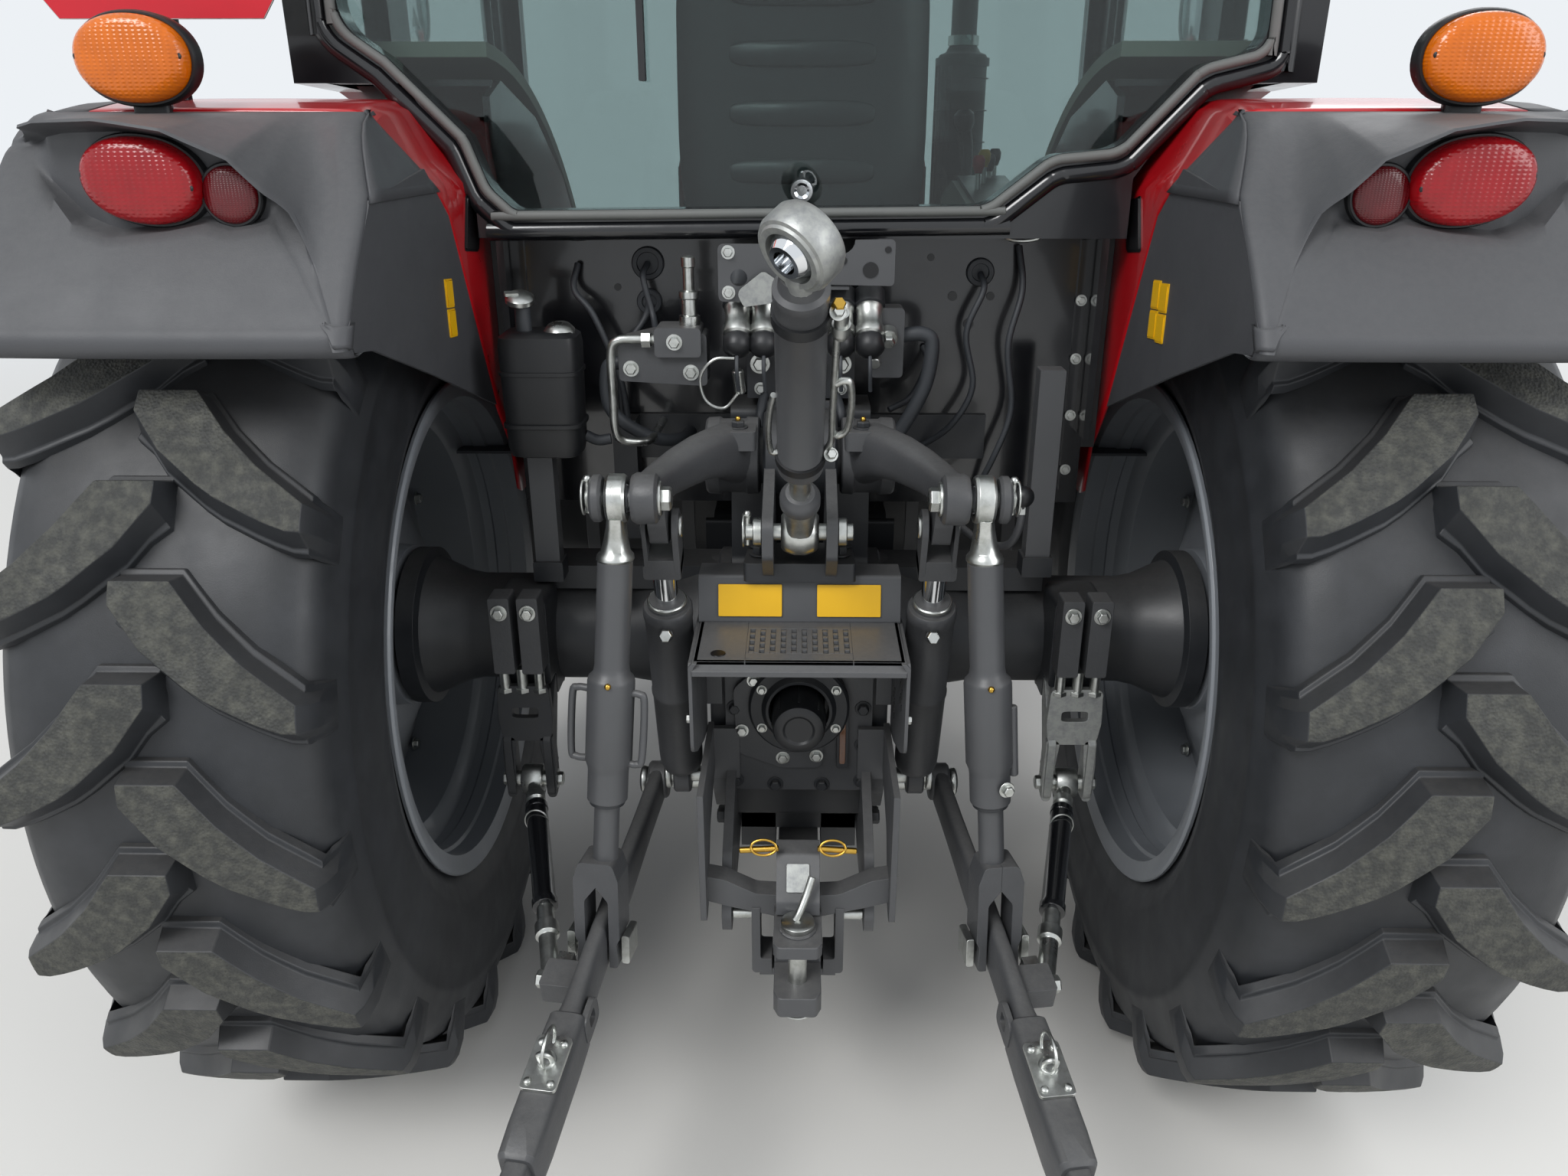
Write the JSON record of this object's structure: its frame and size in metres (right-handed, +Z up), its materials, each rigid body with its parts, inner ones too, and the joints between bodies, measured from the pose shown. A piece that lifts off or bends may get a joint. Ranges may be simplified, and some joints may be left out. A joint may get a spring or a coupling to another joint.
{
  "type": "farm tractor",
  "caption": "Four-wheel-drive farm tractor with a closed cab, rear three-point linkage with lift cylinders, drive shaft guard and pin drawbar.",
  "frame": {"origin": "on the ground under the middle of the whole machine's length and width", "axes": "+Y to the tractor's front, +X to its driver's right, +Z up"},
  "size_m": [2.13, 4.094, 2.6],
  "materials": {
    "red_paint": "glossy red paint",
    "grey_paint": "satin dark grey paint",
    "cab_black": "glossy black paint",
    "fender_plastic": "grained dark grey plastic",
    "tyre_rubber": "matt black rubber",
    "rim_paint": "satin silver paint",
    "zinc_steel": "zinc-plated steel",
    "cast_grey": "painted cast iron",
    "window_glass": "clear glass",
    "seat_fabric": "black woven fabric",
    "beige_plastic": "grained beige plastic",
    "black_plastic": "grained black plastic",
    "red_lens": "clear red lens",
    "amber_lens": "clear amber lens",
    "clear_lens": "clear lens",
    "sign_red": "reflecting sheet",
    "ram_chrome": "polished chrome"
  },
  "bodies": {
    "chassis": {"amber_lamps": "amber_lens", "cab_frame": "cab_black", "cab_glass": "window_glass", "cab_tub": "cab_black", "consoles": "beige_plastic", "cooling_pack": "black_plastic", "dash": "black_plastic", "drawbar": "grey_paint", "drawbar_hanger": "grey_paint", "engine": "cast_grey", "exhaust": "cab_black", "fender_caps": "fender_plastic", "fender_left": "red_paint", "fender_right": "red_paint", "front_axle": "cast_grey", "front_frame": "cast_grey", "hitch_pin": "zinc_steel", "hitch_valves": "grey_paint", "link_brackets": "grey_paint", "mirrors": "black_plastic", "pto_guard": "grey_paint", "reservoir": "black_plastic", "roof": "red_paint", "seat": "seat_fabric", "side_boxes": "black_plastic", "slow_sign": "sign_red", "steering_wheel": "black_plastic", "steps": "grey_paint", "tail_lamps": "red_lens", "transmission": "cast_grey"},
    "rear_wheel_left": {"rear_left_tyre": "tyre_rubber", "rear_left_rim": "rim_paint"},
    "rear_wheel_right": {"rear_right_tyre": "tyre_rubber", "rear_right_rim": "rim_paint"},
    "knuckle_left": {"knuckle_left": "grey_paint"},
    "knuckle_right": {"knuckle_right": "grey_paint"},
    "front_wheel_left": {"front_left_tyre": "tyre_rubber", "front_left_rim": "rim_paint"},
    "front_wheel_right": {"front_right_tyre": "tyre_rubber", "front_right_rim": "rim_paint"},
    "steering_rod": {"steering_rod": "zinc_steel"},
    "door_left": {"door_left": "cab_black", "door_glass_left": "window_glass"},
    "door_right": {"door_right": "cab_black", "door_glass_right": "window_glass"},
    "hood": {"hood": "red_paint", "hood_grilles": "black_plastic", "headlamps": "clear_lens"},
    "lift_arms": {"lift_arms": "grey_paint"},
    "lift_rod_left": {"lift_rod_left": "grey_paint"},
    "lift_rod_right": {"lift_rod_right": "grey_paint"},
    "lower_link_left": {"lower_link_left": "grey_paint"},
    "lower_link_right": {"lower_link_right": "grey_paint"},
    "lift_barrel_left": {"lift_barrel_left": "grey_paint"},
    "lift_barrel_right": {"lift_barrel_right": "grey_paint"},
    "lift_ram_left": {"lift_ram_left": "ram_chrome"},
    "lift_ram_right": {"lift_ram_right": "ram_chrome"},
    "top_link_barrel": {"top_link_barrel": "grey_paint"},
    "top_link_rod": {"top_link_rod": "ram_chrome"},
    "pto_shaft": {"pto_shaft": "zinc_steel"}
  },
  "joints": [
    {"name": "rear_left_wheel_spin", "type": "hinge", "parent": "chassis", "child": "rear_wheel_left", "pos_m": [-0.803, -0.993, 0.789], "axis": [1, 0, 0], "continuous": true},
    {"name": "rear_right_wheel_spin", "type": "hinge", "parent": "chassis", "child": "rear_wheel_right", "pos_m": [0.803, -0.993, 0.789], "axis": [1, 0, 0], "continuous": true},
    {"name": "steer_left", "type": "hinge", "parent": "chassis", "child": "knuckle_left", "pos_m": [-0.655, 1.367, 0.594], "axis": [0, 0, 1], "range_deg": [-40, 40]},
    {"name": "steer_right", "type": "hinge", "parent": "chassis", "child": "knuckle_right", "pos_m": [0.655, 1.367, 0.594], "axis": [0, 0, 1], "range_deg": [-40, 40]},
    {"name": "front_left_wheel_spin", "type": "hinge", "parent": "knuckle_left", "child": "front_wheel_left", "pos_m": [-0.83, 1.367, 0.594], "axis": [1, 0, 0], "continuous": true},
    {"name": "front_right_wheel_spin", "type": "hinge", "parent": "knuckle_right", "child": "front_wheel_right", "pos_m": [0.83, 1.367, 0.594], "axis": [1, 0, 0], "continuous": true},
    {"name": "steering_rod_slide", "type": "slide", "parent": "chassis", "child": "steering_rod", "axis": [1, 0, 0], "range_m": [-0.0895, 0.0895]},
    {"name": "door_left_open", "type": "hinge", "parent": "chassis", "child": "door_left", "pos_m": [-0.792, -0.643, 1.7], "axis": [0, 0, 1], "range_deg": [0, 68]},
    {"name": "door_right_open", "type": "hinge", "parent": "chassis", "child": "door_right", "pos_m": [0.792, -0.643, 1.7], "axis": [0, 0, -1], "range_deg": [0, 68]},
    {"name": "hood_open", "type": "hinge", "parent": "chassis", "child": "hood", "pos_m": [0, 0.321, 1.612], "axis": [1, 0, 0], "range_deg": [0, 50]},
    {"name": "hitch_lift", "type": "hinge", "parent": "chassis", "child": "lift_arms", "pos_m": [0, -1.163, 1.165], "axis": [-1, 0, 0], "range_deg": [-12, 36]},
    {"name": "lift_rod_left_swing", "type": "hinge", "parent": "lift_arms", "child": "lift_rod_left", "pos_m": [-0.252, -1.443, 1.18], "axis": [1, 0, 0], "range_deg": [-11.51, 32.54]},
    {"name": "lower_link_left_swing", "type": "hinge", "parent": "chassis", "child": "lower_link_left", "pos_m": [-0.252, -1.163, 0.56], "axis": [-1, 0, 0], "range_deg": [-10.38, 29.14]},
    {"name": "lift_cylinder_left_tilt", "type": "hinge", "parent": "chassis", "child": "lift_barrel_left", "pos_m": [-0.203, -1.208, 0.6], "axis": [-1, 0, 0], "range_deg": [-2.17, 4.51]},
    {"name": "lift_cylinder_left_stroke", "type": "slide", "parent": "lift_barrel_left", "child": "lift_ram_left", "axis": [0, -0.3118, 0.9501], "range_m": [-0.048, 0.135]},
    {"name": "lift_rod_right_swing", "type": "hinge", "parent": "lift_arms", "child": "lift_rod_right", "pos_m": [0.252, -1.443, 1.18], "axis": [1, 0, 0], "range_deg": [-11.51, 32.54]},
    {"name": "lower_link_right_swing", "type": "hinge", "parent": "chassis", "child": "lower_link_right", "pos_m": [0.252, -1.163, 0.56], "axis": [-1, 0, 0], "range_deg": [-10.38, 29.14]},
    {"name": "lift_cylinder_right_tilt", "type": "hinge", "parent": "chassis", "child": "lift_barrel_right", "pos_m": [0.203, -1.208, 0.6], "axis": [-1, 0, 0], "range_deg": [-2.17, 4.51]},
    {"name": "lift_cylinder_right_stroke", "type": "slide", "parent": "lift_barrel_right", "child": "lift_ram_right", "axis": [0, -0.3118, 0.9501], "range_m": [-0.048, 0.135]},
    {"name": "top_link_swing", "type": "hinge", "parent": "chassis", "child": "top_link_barrel", "pos_m": [0, -1.338, 1.096], "axis": [1, 0, 0], "range_deg": [0, 66]},
    {"name": "top_link_extend", "type": "slide", "parent": "top_link_barrel", "child": "top_link_rod", "axis": [0, -0.6599, 0.7513], "range_m": [0, 0.19]},
    {"name": "pto_spin", "type": "hinge", "parent": "chassis", "child": "pto_shaft", "pos_m": [0, -1.343, 0.762], "axis": [0, 1, 0], "continuous": true}
  ],
  "couplings": [
    {"joint": "steer_right", "follows": "steer_left", "ratio": 1},
    {"joint": "steering_rod_slide", "follows": "steer_left", "m_per_rad": 0.128},
    {"joint": "lift_rod_left_swing", "follows": "hitch_lift", "ratio": 0.8762},
    {"joint": "lower_link_left_swing", "follows": "hitch_lift", "ratio": 0.7817},
    {"joint": "lift_cylinder_left_tilt", "follows": "hitch_lift", "ratio": 0.0975},
    {"joint": "lift_cylinder_left_stroke", "follows": "hitch_lift", "m_per_rad": 0.206},
    {"joint": "lift_rod_right_swing", "follows": "hitch_lift", "ratio": 0.8762},
    {"joint": "lower_link_right_swing", "follows": "hitch_lift", "ratio": 0.7817},
    {"joint": "lift_cylinder_right_tilt", "follows": "hitch_lift", "ratio": 0.0975},
    {"joint": "lift_cylinder_right_stroke", "follows": "hitch_lift", "m_per_rad": 0.206}
  ]
}
